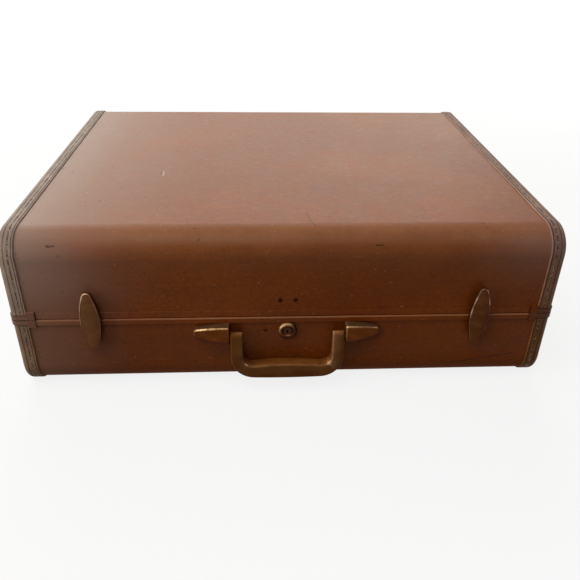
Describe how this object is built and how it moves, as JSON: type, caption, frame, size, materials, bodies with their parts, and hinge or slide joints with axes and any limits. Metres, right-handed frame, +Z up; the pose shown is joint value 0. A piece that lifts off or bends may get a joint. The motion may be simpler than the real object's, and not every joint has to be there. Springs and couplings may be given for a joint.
{
  "type": "hard suitcase",
  "caption": "Vintage hard suitcase lying flat, with rolled edges, stitched end bindings, leaf latches, a key lock and a swinging handle; the lid opens on back hinges with slotted stays.",
  "frame": {"origin": "middle of the footprint's bounding box, on the floor under the closed case lying flat", "axes": "+X along the case to the right seen from the handle side, +Y from the handle side to the hinge side, +Z up through the lid"},
  "size_m": [0.6124, 0.5024, 0.2002],
  "materials": {
    "cover_leatherette": "worn satin, fine grain",
    "binding_leather": "stitched, satin",
    "lip_board": "cloth-faced board",
    "lining_cloth": "woven",
    "webbing": "woven tape",
    "aged_brass": "aged, rubbed edges",
    "bronze_leaf": "dark bronzed, bright rim",
    "dark_steel": "blackened",
    "plated_steel": "dull plated",
    "moulded_handle": "polished by use"
  },
  "bodies": {
    "tray": {"tray_cover": "cover_leatherette", "tray_left_end": "cover_leatherette", "tray_right_end": "cover_leatherette", "tray_left_binding": "binding_leather", "tray_right_binding": "binding_leather", "tray_front_band": "cover_leatherette", "tray_back_band": "cover_leatherette", "tray_end_bands": "cover_leatherette", "tray_lip": "lip_board", "tray_lining": "lining_cloth", "packing_straps": "webbing", "strap_buckles": "aged_brass", "left_handle_bracket": "aged_brass", "right_handle_bracket": "aged_brass", "handle_pins": "dark_steel", "left_latch_base": "bronze_leaf", "right_latch_base": "bronze_leaf", "latch_pins": "plated_steel", "latch_springs": "plated_steel", "lock_bezel": "aged_brass", "lock_case": "plated_steel", "lock_rivet": "dark_steel", "tray_hinge_leaves": "aged_brass", "hinge_pins": "plated_steel", "tray_hinge_rivets": "aged_brass", "tray_stay_studs": "plated_steel", "tray_feet": "aged_brass"},
    "lid": {"lid_cover": "cover_leatherette", "lid_left_end": "cover_leatherette", "lid_right_end": "cover_leatherette", "lid_left_binding": "binding_leather", "lid_right_binding": "binding_leather", "lid_front_band": "cover_leatherette", "lid_back_band": "cover_leatherette", "lid_end_bands": "cover_leatherette", "lid_lining": "lining_cloth", "lid_hinge_leaves": "aged_brass", "lid_hinge_rivets": "aged_brass", "latch_keepers": "bronze_leaf", "lock_strike": "plated_steel", "strike_rivets": "dark_steel", "lid_stay_studs": "plated_steel", "lid_feet": "aged_brass"},
    "handle": {"handle": "moulded_handle"},
    "left_latch": {"left_latch_lever": "bronze_leaf"},
    "right_latch": {"right_latch_lever": "bronze_leaf"},
    "lock_plug": {"lock_plug": "bronze_leaf"},
    "lock_bolt": {"lock_bolt": "plated_steel"},
    "left_stay": {"left_stay": "plated_steel"},
    "right_stay": {"right_stay": "plated_steel"}
  },
  "joints": [
    {"name": "lid_hinge", "type": "hinge", "parent": "tray", "child": "lid", "pos_m": [0, 0.24685, 0.0966], "axis": [-1, 0, 0], "range_deg": [0, 100]},
    {"name": "handle_swing", "type": "hinge", "parent": "tray", "child": "handle", "pos_m": [0, -0.24425, 0.0766], "axis": [-1, 0, 0], "range_deg": [0, 172]},
    {"name": "left_latch_swing", "type": "hinge", "parent": "tray", "child": "left_latch", "pos_m": [-0.217, -0.24115, 0.0699], "axis": [1, 0, 0], "range_deg": [0, 85], "stiffness_Nm_per_rad": 0.02, "springref_deg": -34.38},
    {"name": "right_latch_swing", "type": "hinge", "parent": "tray", "child": "right_latch", "pos_m": [0.217, -0.24115, 0.0699], "axis": [1, 0, 0], "range_deg": [0, 85], "stiffness_Nm_per_rad": 0.02, "springref_deg": -34.38},
    {"name": "key_turn", "type": "hinge", "parent": "tray", "child": "lock_plug", "pos_m": [0, -0.23475, 0.0776], "axis": [0, 1, 0], "range_deg": [0, 90]},
    {"name": "bolt_slide", "type": "slide", "parent": "tray", "child": "lock_bolt", "axis": [1, 0, 0], "range_m": [0, 0.00707]},
    {"name": "left_stay_turn", "type": "hinge", "parent": "lid", "child": "left_stay", "pos_m": [-0.2932, 0.20485, 0.1126], "axis": [-1, 0, 0], "range_deg": [-50, 0]},
    {"name": "right_stay_turn", "type": "hinge", "parent": "lid", "child": "right_stay", "pos_m": [0.2932, 0.20485, 0.1126], "axis": [-1, 0, 0], "range_deg": [-50, 0]}
  ],
  "couplings": [
    {"joint": "key_turn", "follows": "bolt_slide", "rad_per_m": 222.14},
    {"joint": "left_stay_turn", "follows": "lid_hinge", "ratio": -0.5},
    {"joint": "right_stay_turn", "follows": "lid_hinge", "ratio": -0.5}
  ]
}
